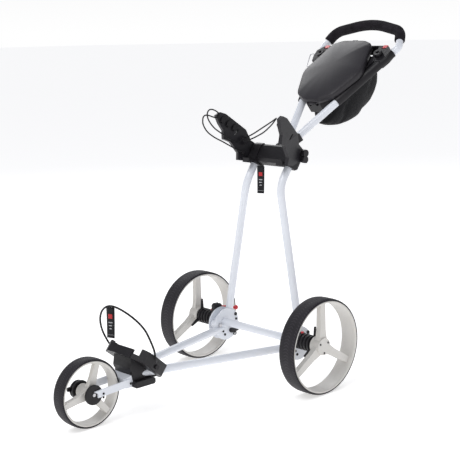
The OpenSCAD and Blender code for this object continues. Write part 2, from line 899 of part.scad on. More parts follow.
// Two-lobed nut on the shaft's left end
module cradle_knob() {
    x0 = arm_x + arm_t + 0.4;
    lobe_r = 11.5;
    placed() color(black_plastic) in_crossbar() difference() {
        union() {
            xrod(x0, x0 + 6, cradle_axis, 10);
            xrod(x0 + 3, x0 + 16, cradle_axis + [-4, 9], lobe_r);
            xrod(x0 + 3, x0 + 16, cradle_axis + [5.7, -8.4], lobe_r);
        }
        xrod(x0 - 1, x0 + 14.8, cradle_axis, cradle_shaft_r + running_gap);
    }
}

module cradle_strap() {
    placed() color(black_plastic) cord(strap_route, upper_cord_d / 2);
}

module cradle_loop() {
    placed() color(black_plastic) cord(loop_route, upper_cord_d / 2);
}

// ---- handle ---------------------------------------------------------------------

module in_handle() {
    translate(handle_pivot) rotate([handle_slope, 0, 0]) children();
}

function on_tube(y) = [tube_spread * y, y, 0];

handle_half = [on_tube(tube_start), bow_side, bow_corner, bow_top];
handle_path = concat(handle_half, [for (i = [2 : -1 : 0]) xflip(handle_half[i])]);
handle_bends = [0, 30, 50, 250, 50, 30, 0];

module handle_tube() {
    placed() color(tube_white) in_handle() bent_tube(handle_path, handle_bends);
}

// The foam starts a little way up the bow, past its first bend
grip_start = bow_side + 26 * unit(bow_corner - bow_side);
grip_path = [grip_start, bow_corner, bow_top, xflip(bow_corner), xflip(grip_start)];
grip_bends = [0, 50, 250, 50, 0];

module foam_grip() {
    placed() color(foam_black) in_handle() difference() {
        bent_bar(grip_path, grip_bends, grip_d / 2);
        bent_bar(drawn_out(grip_path, 1), grip_bends, tube_r + 0.02);
    }
}

// Folding root of the handle: knuckle on the pin, and a socket for each tube
module handle_block() {
    half_w = ear_x0 - 0.5;
    placed() color(black_plastic) in_handle() difference() {
        union() {
            xrod(-half_w, half_w, [0, 0], knuckle_r);
            translate([-half_w + 0.5, 0, -12]) cube([2 * half_w - 1, 24, 24]);
            translate([0, 0, -15]) linear_extrude(30) polygon([
                [-16, 20], [16, 20], [34, block_end], [-34, block_end]
            ]);
        }
        xrod(-40, 40, [0, 0], handle_pin_r + running_gap);
        both_sides() rod(on_tube(tube_start), on_tube(200), tube_r);
    }
}

// ---- console ----------------------------------------------------------------------

console_floor = -22;
console_rim = 18;
sleeve_y0 = 219;
sleeve_y1 = 462;
lug_x0 = 10.3;
lug_x1 = 20;
lug_r = 5;
lid_pin_r = 2;

// Open ring between the handle tubes
module console_ring() {
    translate([0, 0, console_floor]) linear_extrude(console_rim - console_floor) difference() {
        polygon([
            [-30, 192], [30, 192], [60, 216], [145, 466], [124, 480],
            [-124, 480], [-145, 466], [-60, 216]
        ]);
        polygon([
            [-28, 195], [28, 195], [56, 218], [112, 384], [104, 400], [104, 477],
            [-104, 477], [-104, 400], [-112, 384], [-56, 218]
        ]);
    }
}

// Sleeve over a handle tube, cut back under the tube
module tube_sleeve() {
    difference() {
        rod(on_tube(sleeve_y0), on_tube(sleeve_y1), sleeve_r);
        translate([0, 0, -40]) linear_extrude(32)
            polygon([[20, 190], [20, 500], [260, 500], [260, 190]]);
    }
}

// Ring with a sleeve and a shoulder on each side, and the lugs for the lid's pin
module console_base() {
    placed() color(black_plastic) in_handle() difference() {
        union() {
            console_ring();
            both_sides() {
                tube_sleeve();
                translate([0, 0, -12]) linear_extrude(12 + console_rim) polygon([
                    [104.5, 401], [150, 402], [160, 428], [163, 457], [147, 473], [128, 481],
                    [104.5, 479]
                ]);
                xrod(lug_x0, lug_x1, lid_axis, lug_r);
                yz_plate(lug_x0, lug_x1) polygon([[185, 20], [185, 12], [193, 8], [193, 20]]);
            }
        }
        bent_bar(handle_path, handle_bends, tube_r + socket_gap);
        both_sides() release_well();
        xrod(-lug_x0, lug_x0, lid_axis, lug_r + 0.5);
        xrod(-30, 30, lid_axis, lid_pin_r);
    }
}

dock_at = [127, 434];
dock_r = 15;
dock_bore_r = 6;
dock_h = 12;

// Round docks for accessories, one on each shoulder
module accessory_docks() {
    placed() color(black_plastic) in_handle() both_sides()
        translate([dock_at[0], dock_at[1], console_rim]) difference() {
            cylinder(h = dock_h, r = dock_r);
            translate([0, 0, -1]) cylinder(h = dock_h + 2, r = dock_bore_r);
            translate([0, -1.5, dock_h - 3]) cube([dock_r + 1, 3, 4]);
        }
}

release_x = [119, 137];
release_y = [469, 482.5];
release_z = 8;
release_travel = 3;
release_gap = 0.4;

// Well in a shoulder, open to the top and the rear, that its release button slides in
module release_well() {
    translate([release_x[0] - release_gap, release_y[0] - release_travel - release_gap,
        release_z - release_gap])
        cube([release_x[1] - release_x[0] + 2 * release_gap, 40, 40]);
}

module dock_release() {
    color(signal_red) in_handle() translate([release_x[0], release_y[0], release_z])
        cube([release_x[1] - release_x[0], release_y[1] - release_y[0], console_rim - release_z]);
}

module dock_release_left() {
    placed() dock_release();
}
module dock_release_right() {
    placed() other_side() dock_release();
}

// Wire loop for a towel, on the console's right-hand side
module towel_loop() {
    wire = [[149, 392, 2], [172, 386, 4], [200, 456, 4], [180, 452, 2]];
    placed() color(steel_grey) in_handle() other_side() bent_bar(wire, [0, 6, 6, 0], 1.5);
}

// One layer of the pouch at height z: a rounded outline between two y values
module pouch_layer(z, y0, y1, half0, half1) {
    translate([0, 0, z]) linear_extrude(0.1)
        polygon([[-half0, y0], [half0, y0], [half1, y1], [-half1, y1]]);
}

module pouch_form(inset) {
    hull() {
        pouch_layer(console_floor + (inset > 0 ? 1 : -0.3), 204 + inset, 474 - inset, 44 - inset,
            100 - inset);
        pouch_layer(-60 + inset / 2, 178 + inset, 480 - inset, 40 - inset, 96 - inset);
        pouch_layer(-104 + inset, 232 + inset, 458 - inset, 46 - inset, 78 - inset);
        pouch_layer(-146 + inset, 312 + inset, 404 - inset, 40 - inset, 52 - inset);
    }
}

module net_bag() {
    placed() color(cloth_black) in_handle() difference() {
        pouch_form(0);
        pouch_form(cloth_t);
    }
}

lid_outline = [
    [-28, 190], [28, 190], [80, 220], [126, 327], [100, 412], [82, 469], [45, 484],
    [-45, 484], [-82, 469], [-100, 412], [-126, 327], [-80, 220]
];
lid_mid = [0, 345];
lid_wall = shell_t;
lid_z0 = console_rim + 1;

// One layer of the lid: its outline at height z, shrunk to k about the middle and inset
module lid_layer(z, k, inset = 0) {
    sx = k * (126 - inset) / 126;
    sy = k * (147 - inset) / 147;
    translate([lid_mid[0], lid_mid[1], z]) linear_extrude(0.2)
        polygon([for (p = lid_outline) [p[0] * sx, (p[1] - lid_mid[1]) * sy]]);
}

module lid_form(inset) {
    hull() {
        lid_layer(inset > 0 ? lid_z0 - 1 : lid_z0, 1, inset);
        lid_layer(lid_z0 + 12, 1, inset);
        lid_layer(lid_z0 + 24 - inset * 0.6, 0.93, inset);
        lid_layer(lid_z0 + 32 - inset, 0.82, inset);
        lid_layer(lid_z0 + 36 - inset, 0.62, inset);
    }
}

latch_half = 12;
latch_y = [480, 488.5];
latch_z = [lid_z0 + 8, lid_z0 + 16];
latch_travel = 3;
latch_gap = 0.4;

// Shell lid with a knuckle on its pin and a well for its latch
module console_lid() {
    placed() color(lid_grey) in_handle() difference() {
        union() {
            difference() {
                lid_form(0);
                lid_form(lid_wall);
            }
            xrod(-lug_x0 + 0.3, lug_x0 - 0.3, lid_axis, lug_r);
            intersection() {
                lid_form(0.2);
                translate([-latch_half - 4, latch_y[0] - 14, latch_z[0] - 4])
                    cube([2 * latch_half + 8, 30, latch_z[1] - latch_z[0] + 8]);
            }
        }
        both_sides() xrod(lug_x0 - 0.3, lug_x1 + 0.4, lid_axis, lug_r + 0.5);
        xrod(-30, 30, lid_axis, lid_pin_r + running_gap);
        translate([-latch_half - latch_gap, latch_y[0] - latch_travel - latch_gap,
            latch_z[0] - latch_gap])
            cube([2 * (latch_half + latch_gap), 30, latch_z[1] - latch_z[0] + 2 * latch_gap]);
    }
}

module lid_pin() {
    placed() color(steel_grey) in_handle() xrod(-lug_x1, lug_x1, lid_axis, lid_pin_r);
}

module lid_latch() {
    placed() color(black_plastic) in_handle() translate([-latch_half, latch_y[0], latch_z[0]])
        cube([2 * latch_half, latch_y[1] - latch_y[0], latch_z[1] - latch_z[0]]);
}

// ---- output -------------------------------------------------------------------------

lower_tube_left();
lower_tube_right();
cross_tube();
joint_plates_left();
joint_plates_right();
frame_bolts();
axles_and_pivots();
fork();
front_dropouts();
axle_housing_left();
axle_housing_right();
brake_box();
lower_bracket();
lower_cord();
lower_tag();
rear_tyre_left();
rear_rim_left();
rear_spider_left();
rear_bearings_left();
rear_hub_screws_left();
rear_tyre_right();
rear_rim_right();
rear_spider_right();
rear_bearings_right();
rear_hub_screws_right();
front_tyre();
front_rim();
front_bearings();
wheel_release_left();
wheel_release_right();
brake_pedal();
brake_pin();
fold_lever_left();
fold_lever_right();
tracking_dial();
upright_left();
upright_right();
upright_feet();
crossbar();
handle_pin();
upper_tag();
cradle_arm_left();
cradle_arm_right();
cradle_shaft();
cradle_fittings();
cradle_strap();
cradle_loop();
cradle_knob();
handle_tube();
handle_block();
foam_grip();
console_base();
accessory_docks();
towel_loop();
net_bag();
console_lid();
lid_pin();
lid_latch();
dock_release_left();
dock_release_right();
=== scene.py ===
"""Looks for the folding golf push trolley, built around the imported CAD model."""
import json
import math
import bpy
from mathutils import Matrix, Vector


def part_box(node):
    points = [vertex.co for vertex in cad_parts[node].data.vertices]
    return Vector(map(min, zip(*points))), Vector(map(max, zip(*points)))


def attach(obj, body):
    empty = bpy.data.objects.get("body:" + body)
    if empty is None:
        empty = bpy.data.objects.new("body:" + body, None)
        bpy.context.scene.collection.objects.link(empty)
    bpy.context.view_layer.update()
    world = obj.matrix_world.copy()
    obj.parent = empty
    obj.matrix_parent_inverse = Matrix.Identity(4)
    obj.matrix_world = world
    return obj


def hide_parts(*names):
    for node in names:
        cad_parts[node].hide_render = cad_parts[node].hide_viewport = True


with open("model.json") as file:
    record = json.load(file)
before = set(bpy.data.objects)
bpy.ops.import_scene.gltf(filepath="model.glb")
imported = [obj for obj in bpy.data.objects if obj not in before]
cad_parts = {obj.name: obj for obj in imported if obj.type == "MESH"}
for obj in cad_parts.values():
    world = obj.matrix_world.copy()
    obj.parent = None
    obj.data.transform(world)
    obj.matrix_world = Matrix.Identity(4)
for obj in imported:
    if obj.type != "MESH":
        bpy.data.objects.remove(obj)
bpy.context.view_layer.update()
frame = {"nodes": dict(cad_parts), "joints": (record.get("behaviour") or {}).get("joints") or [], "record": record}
NODES = frame["nodes"]
RECORD = frame["record"]
JOINTS = {j["name"]: j for j in frame["joints"]}
MM = 0.001

# The rear axle's place along Y is the origin of the cord routes and of the camera
AXLE_Y = JOINTS["rear_wheel_left_spin"]["pos_m"][1]

# The handle's own frame: origin on its folding axis, v up the handle, w out of its face
DOCK_AXIS = next(m["axis"] for m in RECORD["mounts"] if m["name"] == "accessory_dock_left")
HANDLE_PIVOT = Vector(JOINTS["handle_fold"]["pos_m"])
HANDLE_SLOPE = math.atan2(-DOCK_AXIS[1], DOCK_AXIS[2])


def at_axle(point):
    """A point given in metres from the rear axle, in the row frame."""
    return Vector((point[0], point[1] + AXLE_Y, point[2]))


def on_handle(u, v, w):
    """A point of the handle's own frame, given in millimetres, in the row frame."""
    c = math.cos(HANDLE_SLOPE)
    s = math.sin(HANDLE_SLOPE)
    return HANDLE_PIVOT + MM * Vector((u, v * c - w * s, v * s + w * c))


# ---- camera ----------------------------------------------------------------------

CAMERA_AT = (2.4285, -2.3978, 1.1069)
CAMERA_AZIMUTH = 46.68
CAMERA_ELEVATION = 10.43
CAMERA_ROLL = -0.97
CAMERA_LENS = 84.72


def make_camera():
    a = math.radians(CAMERA_AZIMUTH)
    e = math.radians(CAMERA_ELEVATION)
    r = math.radians(CAMERA_ROLL)
    back = Vector((math.sin(a) * math.cos(e), -math.cos(a) * math.cos(e), math.sin(e)))
    level = Vector((math.cos(a), math.sin(a), 0))
    above = back.cross(level)
    right = math.cos(r) * level + math.sin(r) * above
    up = -math.sin(r) * level + math.cos(r) * above
    data = bpy.data.cameras.new("camera")
    data.lens = CAMERA_LENS
    data.sensor_width = 36
    data.clip_start = 0.05
    data.clip_end = 100
    camera = bpy.data.objects.new("camera", data)
    turn = Matrix((right, up, back)).transposed().to_4x4()
    camera.matrix_world = Matrix.Translation(at_axle(CAMERA_AT)) @ turn
    bpy.context.scene.collection.objects.link(camera)
    bpy.context.scene.camera = camera


# ---- materials --------------------------------------------------------------------

class Surface:
    """A procedural material: a base colour that varies softly, a grain, and its own extras."""

    def __init__(self, name, colour, rough, **settings):
        self.material = bpy.data.materials.new(name)
        self.material.use_nodes = True
        self.tree = self.material.node_tree
        self.shader = self.tree.nodes["Principled BSDF"]
        self.colour = (*colour, 1)
        self.shader.inputs["Base Color"].default_value = self.colour
        self.shader.inputs["Roughness"].default_value = rough
        self.rough = rough
        for socket, value in settings.items():
            self.shader.inputs[socket.replace("_", " ")].default_value = value
        self.place = self.tree.nodes.new("ShaderNodeTexCoord")
        self.normal = None

    def node(self, kind, **values):
        made = self.tree.nodes.new("ShaderNode" + kind)
        for key, value in values.items():
            if hasattr(made, key):
                setattr(made, key, value)
            else:
                made.inputs[key.replace("_", " ")].default_value = value
        return made

    def link(self, out, into):
        self.tree.links.new(out, into)

    def math(self, operation, *terms):
        made = self.node("Math", operation=operation)
        for i, term in enumerate(terms):
            if isinstance(term, (int, float)):
                made.inputs[i].default_value = term
            else:
                self.link(term, made.inputs[i])
        return made.outputs[0]

    def noise(self, scale, detail=3.0, stretch=None):
        made = self.node("TexNoise", Scale=scale, Detail=detail)
        coords = self.place.outputs["Object"]
        if stretch:
            mapping = self.node("Mapping", Scale=stretch)
            self.link(coords, mapping.inputs["Vector"])
            coords = mapping.outputs[0]
        self.link(coords, made.inputs["Vector"])
        return made.outputs["Fac"]

    def ramp(self, factor, low, high, at=(0.3, 0.7)):
        made = self.node("ValToRGB")
        made.color_ramp.elements[0].position = at[0]
        made.color_ramp.elements[0].color = (*low, 1)
        made.color_ramp.elements[1].position = at[1]
        made.color_ramp.elements[1].color = (*high, 1)
        self.link(factor, made.inputs[0])
        return made.outputs[0]

    def tint(self, factor, low, high, at=(0.3, 0.7)):
        """Multiplies the base colour by a value from low to high."""
        shade = self.ramp(factor, (low,) * 3, (high,) * 3, at)
        mix = self.node("Mix", data_type="RGBA", blend_type="MULTIPLY")
        mix.inputs[0].default_value = 1
        source = self.shader.inputs["Base Color"]
        if source.links:
            self.link(source.links[0].from_socket, mix.inputs[6])
        else:
            mix.inputs[6].default_value = self.colour
        self.link(shade, mix.inputs[7])
        self.link(mix.outputs[2], source)
        return self

    def paint(self, factor, colour):
        """Lays another colour over the base where factor is 1."""
        mix = self.node("Mix", data_type="RGBA")
        source = self.shader.inputs["Base Color"]
        self.link(factor, mix.inputs[0])
        if source.links:
            self.link(source.links[0].from_socket, mix.inputs[6])
        else:
            mix.inputs[6].default_value = self.colour
        mix.inputs[7].default_value = (*colour, 1)
        self.link(mix.outputs[2], source)
        return self

    def roughen(self, factor, spread):
        """Varies the roughness around its own value by spread."""
        low = max(self.rough - spread, 0.02)
        high = min(self.rough + spread, 1.0)
        made = self.node("MapRange", To_Min=low, To_Max=high)
        self.link(factor, made.inputs["Value"])
        self.link(made.outputs[0], self.shader.inputs["Roughness"])
        return self

    def relief(self, height, depth, strength=1.0):
        """Bumps the surface by depth metres where height is 1."""
        made = self.node("Bump", Strength=strength, Distance=depth)
        self.link(height, made.inputs["Height"])
        if self.normal:
            self.link(self.normal, made.inputs["Normal"])
        self.normal = made.outputs[0]
        self.link(self.normal, self.shader.inputs["Normal"])
        return self

    def weave(self, pitch, depth, along="UV"):
        """A plain weave of that pitch in metres; returns its height."""
        parts = self.node("SeparateXYZ")
        self.link(self.place.outputs[along], parts.inputs[0])
        rate = math.pi / pitch
        warp = self.math("SINE", self.math("MULTIPLY", parts.outputs[0], rate))
        weft = self.math("SINE", self.math("MULTIPLY", parts.outputs[1], rate))
        over = self.math("MULTIPLY", warp, weft)
        height = self.math("MULTIPLY_ADD", over, 0.5, 0.5)
        self.relief(height, depth)
        return height


def white_paint():
    s = Surface("white_powder_coat", (0.76, 0.785, 0.84), 0.32, Coat_Weight=0.35, Coat_Roughness=0.12)
    s.tint(s.noise(6), 0.965, 1.0)
    s.roughen(s.noise(40, 5), 0.08)
    s.relief(s.noise(420, 2), 0.00006)
    return s.material


def white_rim_plastic():
    s = Surface("white_rim_plastic", (0.70, 0.68, 0.645), 0.42)
    s.tint(s.noise(9), 0.95, 1.0)
    s.tint(s.noise(160, 6), 0.97, 1.0)
    s.roughen(s.noise(60, 5), 0.1)
    s.relief(s.noise(2200, 2), 0.00003)
    return s.material


def black_moulding(name="black_moulding", colour=(0.010, 0.009, 0.011), rough=0.42):
    s = Surface(name, colour, rough, Specular_IOR_Level=0.3)
    s.tint(s.noise(14), 0.8, 1.25)
    s.roughen(s.noise(90, 6), 0.1)
    s.relief(s.noise(1500, 3), 0.00009)
    return s.material


def red_plastic():
    s = Surface("red_plastic", (0.62, 0.012, 0.022), 0.24, Coat_Weight=0.5, Coat_Roughness=0.08)
    s.tint(s.noise(30), 0.9, 1.0)
    s.roughen(s.noise(200, 5), 0.06)
    s.relief(s.noise(900, 2), 0.00003)
    return s.material


def turned_steel():
    s = Surface("turned_steel", (0.56, 0.56, 0.58), 0.3, Metallic=1.0)
    lines = s.noise(60, 4, stretch=(60, 1, 1))
    s.tint(lines, 0.85, 1.0)
    s.roughen(lines, 0.12)
    s.relief(lines, 0.00004)
    return s.material


# Slanted marks round a tread: how many, how far they slant across it, how many bands of them
# lie across half the tread, and how deep into the rubber the tread reaches
TREAD_TICKS = 96
TICK_SLANT = 3.2 * math.pi
TICK_BANDS = 3
TREAD_DEPTH = 0.0035


def tyre_rubber(name, centre, radius, half_width):
    """Charcoal rubber whose tread carries faint pale ticks round the wheel at centre."""
    s = Surface(name, (0.019, 0.017, 0.021), 0.6, Specular_IOR_Level=0.3)
    shift = s.node("VectorMath", operation="SUBTRACT")
    s.link(s.place.outputs["Object"], shift.inputs[0])
    shift.inputs[1].default_value = centre
    parts = s.node("SeparateXYZ")
    s.link(shift.outputs[0], parts.inputs[0])
    x, y, z = parts.outputs
    turn = s.math("MULTIPLY", s.math("ARCTAN2", y, z), TREAD_TICKS)
    side = s.math("ABSOLUTE", x)
    slant = s.math("MULTIPLY", side, TICK_SLANT / half_width)
    wave = s.math("SINE", s.math("ADD", turn, slant))
    out = s.math("SQRT", s.math("ADD", s.math("MULTIPLY", y, y), s.math("MULTIPLY", z, z)))
    on_tread = s.math("GREATER_THAN", out, radius - TREAD_DEPTH)
    band = s.math("SINE", s.math("MULTIPLY", side, TICK_BANDS * math.pi / half_width))
    in_band = s.math("GREATER_THAN", band, 0.1)
    on_wave = s.math("GREATER_THAN", wave, 0.72)
    tick = s.math("MULTIPLY", on_wave, s.math("MULTIPLY", on_tread, in_band))
    s.tint(tick, 1.0, 2.1, at=(0.4, 0.6))
    s.tint(s.noise(18), 0.82, 1.15)
    s.tint(s.noise(700, 4), 0.85, 1.1)
    s.roughen(s.noise(50, 6), 0.12)
    s.relief(s.noise(1100, 4), 0.00012)
    s.relief(s.math("SUBTRACT", 1.0, tick), 0.0004)
    return s.material


def lid_plastic():
    """Satin charcoal with a faint woven look under its surface."""
    s = Surface("lid_satin", (0.021, 0.019, 0.023), 0.4, Specular_IOR_Level=0.35)
    weave = s.weave(0.0032, 0.00003, along="Object")
    s.tint(weave, 0.86, 1.12, at=(0.2, 0.8))
    s.tint(s.noise(10), 0.9, 1.1)
    s.roughen(s.noise(120, 5), 0.07)
    s.relief(s.noise(1300, 2), 0.00004)
    return s.material


def foam_rubber():
    s = Surface("foam_rubber", (0.013, 0.011, 0.014), 0.9, Specular_IOR_Level=0.2)
    cells = s.node("TexVoronoi", Scale=520.0)
    s.link(s.place.outputs["Object"], cells.inputs["Vector"])
    s.tint(s.noise(55, 4), 0.65, 1.45)
    s.tint(cells.outputs["Distance"], 0.8, 1.1, at=(0.0, 0.6))
    s.relief(s.noise(160, 5), 0.0006)
    s.relief(cells.outputs["Distance"], 0.0003)
    return s.material


def bag_mesh():
    """Fine black mesh cloth: a tight weave with a pinprick at every crossing."""
    s = Surface("bag_mesh", (0.006, 0.006, 0.007), 0.85, Specular_IOR_Level=0.15, Sheen_Weight=0.08)
    weave = s.weave(0.0016, 0.00035)
    s.tint(weave, 0.45, 1.9, at=(0.15, 0.85))
    s.tint(s.noise(25, 3), 0.8, 1.2)
    return s.material


def webbing(name="webbing", colour=(0.013, 0.013, 0.015)):
    s = Surface(name, colour, 0.8, Specular_IOR_Level=0.2, Sheen_Weight=0.1)
    weave = s.weave(0.0011, 0.00022)
    s.tint(weave, 0.6, 1.5, at=(0.15, 0.85))
    s.tint(s.noise(60, 3), 0.85, 1.15)
    return s.material


def braid():
    """Braided elastic cord: two sets of strands that cross, with pale flecks."""
    s = Surface("braid", (0.009, 0.009, 0.010), 0.7, Specular_IOR_Level=0.25)
    weave = s.weave(0.0014, 0.0002)
    s.tint(weave, 0.5, 1.7, at=(0.2, 0.8))
    flecks = s.math("GREATER_THAN", s.noise(900, 2), 0.66)
    s.paint(flecks, (0.07, 0.07, 0.075))
    return s.material


# ---- CAD nodes --------------------------------------------------------------------

SHARP = math.radians(32)


def dress(node, material, edge=0.0):
    """Gives a CAD node its material, and rounds its sharp edges by edge metres."""
    obj = NODES[node]
    obj.data.materials.clear()
    obj.data.materials.append(material)
    weld = obj.modifiers.new("weld", "WELD")
    weld.merge_threshold = 0.00002
    if edge:
        bevel = obj.modifiers.new("edges", "BEVEL")
        bevel.width = edge
        bevel.segments = 2
        bevel.limit_method = "ANGLE"
        bevel.angle_limit = SHARP
        bevel.use_clamp_overlap = True
        bevel.harden_normals = False
    return obj


# ---- mesh helpers ------------------------------------------------------------------

def unit(v):
    return v.normalized()


def smooth_route(points, step):
    """A smooth curve through the points, as points about step metres apart."""
    ends = [2 * points[0] - points[1]] + points + [2 * points[-1] - points[-2]]
    line = []
    for a, b, c, d in zip(ends, ends[1:], ends[2:], ends[3:]):
        n = max(2, round((c - b).length / step))
        for i in range(n):
            t = i / n
            bend = 2 * a - 5 * b + 4 * c - d
            twist = 3 * b - a - 3 * c + d
            line.append(0.5 * (2 * b + (c - a) * t + bend * t * t + twist * t ** 3))
    line.append(points[-1])
    return line


def bent_route(corners, radii, step):
    """A path of straight lengths and round bends, as points about step metres apart."""
    line = [corners[0]]
    for i in range(1, len(corners) - 1):
        d1 = unit(corners[i] - corners[i - 1])
        d2 = unit(corners[i + 1] - corners[i])
        turn = d1.angle(d2)
        reach = radii[i] * math.tan(turn / 2)
        inwards = unit(d2 - d2.dot(d1) * d1)
        centre = corners[i] - reach * d1 + radii[i] * inwards
        n = max(6, round(radii[i] * turn / step))
        for k in range(n + 1):
            t = turn * k / n
            line.append(centre + radii[i] * (math.sin(t) * d1 - math.cos(t) * inwards))
    line.append(corners[-1])
    dense = [line[0]]
    for a, b in zip(line, line[1:]):
        n = max(1, round((b - a).length / step))
        dense += [a.lerp(b, k / n) for k in range(1, n + 1)]
    return dense


def rings_along(line):
    """Two directions across the line at each of its points, carried along without twist."""
    frames = []
    side = None
    for i in range(len(line)):
        along = unit(line[min(i + 1, len(line) - 1)] - line[max(i - 1, 0)])
        if side is None:
            side = unit(along.cross(Vector((0.31, 0.17, 0.94))))
        side = unit(side - side.dot(along) * along)
        frames.append((side, along.cross(side)))
    return frames


def make_object(name, points, faces, uvs=None, material=None, smooth=True):
    mesh = bpy.data.meshes.new(name)
    mesh.from_pydata(points, [], faces)
    if uvs:
        layer = mesh.uv_layers.new(name="uv")
        for loop in mesh.loops:
            layer.data[loop.index].uv = uvs[loop.vertex_index]
    mesh.polygons.foreach_set("use_smooth", [smooth] * len(mesh.polygons))
    obj = bpy.data.objects.new(name, mesh)
    bpy.context.scene.collection.objects.link(obj)
    if material:
        mesh.materials.append(material)
    return obj


def sweep(name, line, radius, sides, material):
    """A closed skin along a line. radius(i, angle) gives how far the skin lies from the line."""
    points = []
    uvs = []
    faces = []
    gone = 0.0
    for i, (p, (a, b)) in enumerate(zip(line, rings_along(line))):
        gone += (p - line[i - 1]).length if i else 0.0
        for k in range(sides):
            t = 2 * math.pi * k / sides
            r = radius(i, t)
            points.append(p + r * (math.cos(t) * a + math.sin(t) * b))
            uvs.append((gone, r * min(t, 2 * math.pi - t)))
    for i in range(len(line) - 1):
        for k in range(sides):
            here = i * sides + k
            beside = i * sides + (k + 1) % sides
            faces.append((here, beside, beside + sides, here + sides))
    faces.append(tuple(reversed(range(sides))))
    last = (len(line) - 1) * sides
    faces.append(tuple(range(last, last + sides)))
    return make_object(name, points, faces, uvs, material)


# ---- cords ------------------------------------------------------------------------

# Elastic cord routes in metres from the rear axle, as the CAD model has them
LOWER_CORD = [
    (0.090, -0.498, 0.184), (0.097, -0.504, 0.196), (0.103, -0.512, 0.212), (0.106, -0.520, 0.228),
    (0.106, -0.529, 0.248), (0.100, -0.538, 0.272), (0.088, -0.546, 0.290), (0.070, -0.552, 0.304),
    (0.046, -0.557, 0.316), (0.020, -0.560, 0.324), (-0.006, -0.561, 0.328), (-0.032, -0.560, 0.327),
    (-0.058, -0.556, 0.319), (-0.082, -0.551, 0.305), (-0.102, -0.544, 0.287),
    (-0.117, -0.536, 0.265), (-0.126, -0.527, 0.243), (-0.130, -0.517, 0.220),
    (-0.128, -0.507, 0.198), (-0.120, -0.499, 0.178), (-0.108, -0.494, 0.164), (-0.092, -0.491, 0.156),
]
STRAP_CORD = [
    (-0.090, 0.054, 0.764), (-0.072, 0.048, 0.770), (-0.050, 0.042, 0.777), (-0.024, 0.035, 0.787),
    (0.006, 0.026, 0.799), (0.036, 0.017, 0.811), (0.066, 0.008, 0.823), (0.092, -0.002, 0.833),
    (0.108, -0.009, 0.839), (0.117, -0.016, 0.841), (0.119, -0.023, 0.836), (0.114, -0.026, 0.828),
    (0.102, -0.021, 0.821), (0.088, -0.013, 0.815), (0.070, -0.004, 0.807), (0.050, 0.005, 0.798),
    (0.028, 0.014, 0.789), (0.002, 0.023, 0.780), (-0.024, 0.031, 0.771), (-0.050, 0.038, 0.763),
    (-0.072, 0.043, 0.757), (-0.090, 0.047, 0.755),
]
LOOP_CORD = [
    (-0.099, 0.053, 0.756), (-0.101, 0.040, 0.753), (-0.102, 0.026, 0.752), (-0.104, 0.012, 0.756),
    (-0.106, -0.002, 0.763), (-0.108, -0.015, 0.772), (-0.112, -0.040, 0.788), (-0.115, -0.057, 0.800),
    (-0.118, -0.070, 0.814), (-0.121, -0.079, 0.829), (-0.123, -0.082, 0.842), (-0.125, -0.079, 0.853),
    (-0.127, -0.070, 0.860), (-0.129, -0.057, 0.861), (-0.130, -0.043, 0.857), (-0.131, -0.031, 0.851),
    (-0.131, -0.027, 0.845), (-0.131, -0.028, 0.838), (-0.131, -0.034, 0.834), (-0.130, -0.043, 0.834),
    (-0.129, -0.054, 0.837), (-0.128, -0.066, 0.841), (-0.127, -0.078, 0.844), (-0.126, -0.090, 0.844),
    (-0.124, -0.099, 0.839), (-0.122, -0.103, 0.829), (-0.121, -0.103, 0.818), (-0.119, -0.097, 0.804),
    (-0.117, -0.087, 0.791), (-0.115, -0.073, 0.780), (-0.114, -0.052, 0.768), (-0.112, -0.031, 0.758),
    (-0.107, 0.002, 0.740), (-0.103, 0.024, 0.728), (-0.099, 0.044, 0.718),
]
LOWER_CORD_D = 0.006
UPPER_CORD_D = 0.0044
BRAID_SIDES = 16
BRAID_DEPTH = 0.05


def route_length(line):
    return sum((b - a).length for a, b in zip(line, line[1:]))


def braided_cord(node, route, diameter, body, material):
    """A braided elastic cord in place of its CAD solid, held at both ends."""
    line = smooth_route([at_axle(p) for p in route], diameter / 4)

    def skin(i, t):
        strands = max(math.sin(4 * t + 0.9 * i), math.sin(4 * t - 0.9 * i))
        return diameter / 2 * (1 - BRAID_DEPTH + BRAID_DEPTH * strands)

    cord = sweep(node + "_braid", line, skin, BRAID_SIDES, material)
    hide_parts(node)
    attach(cord, body)
    return cord


# ---- soft pieces --------------------------------------------------------------------

GRIP_D = 36
TUBE_D = 25
BOW_SIDE = Vector((166.5, 492, 0))
BOW_CORNER = Vector((141, 558, 13))
BOW_TOP = Vector((0, 595, 20))
GRIP_FROM_BEND = 26
GRIP_BENDS = [0, 50, 250, 50, 0]
GRIP_SIDES = 40
GRIP_STEP = 2.0
GRIP_END_ROUND = 5
GRIP_END_SHARE = 0.8
GRIP_SWELL = 0.35
GRIP_BORE_GAP = 0.1


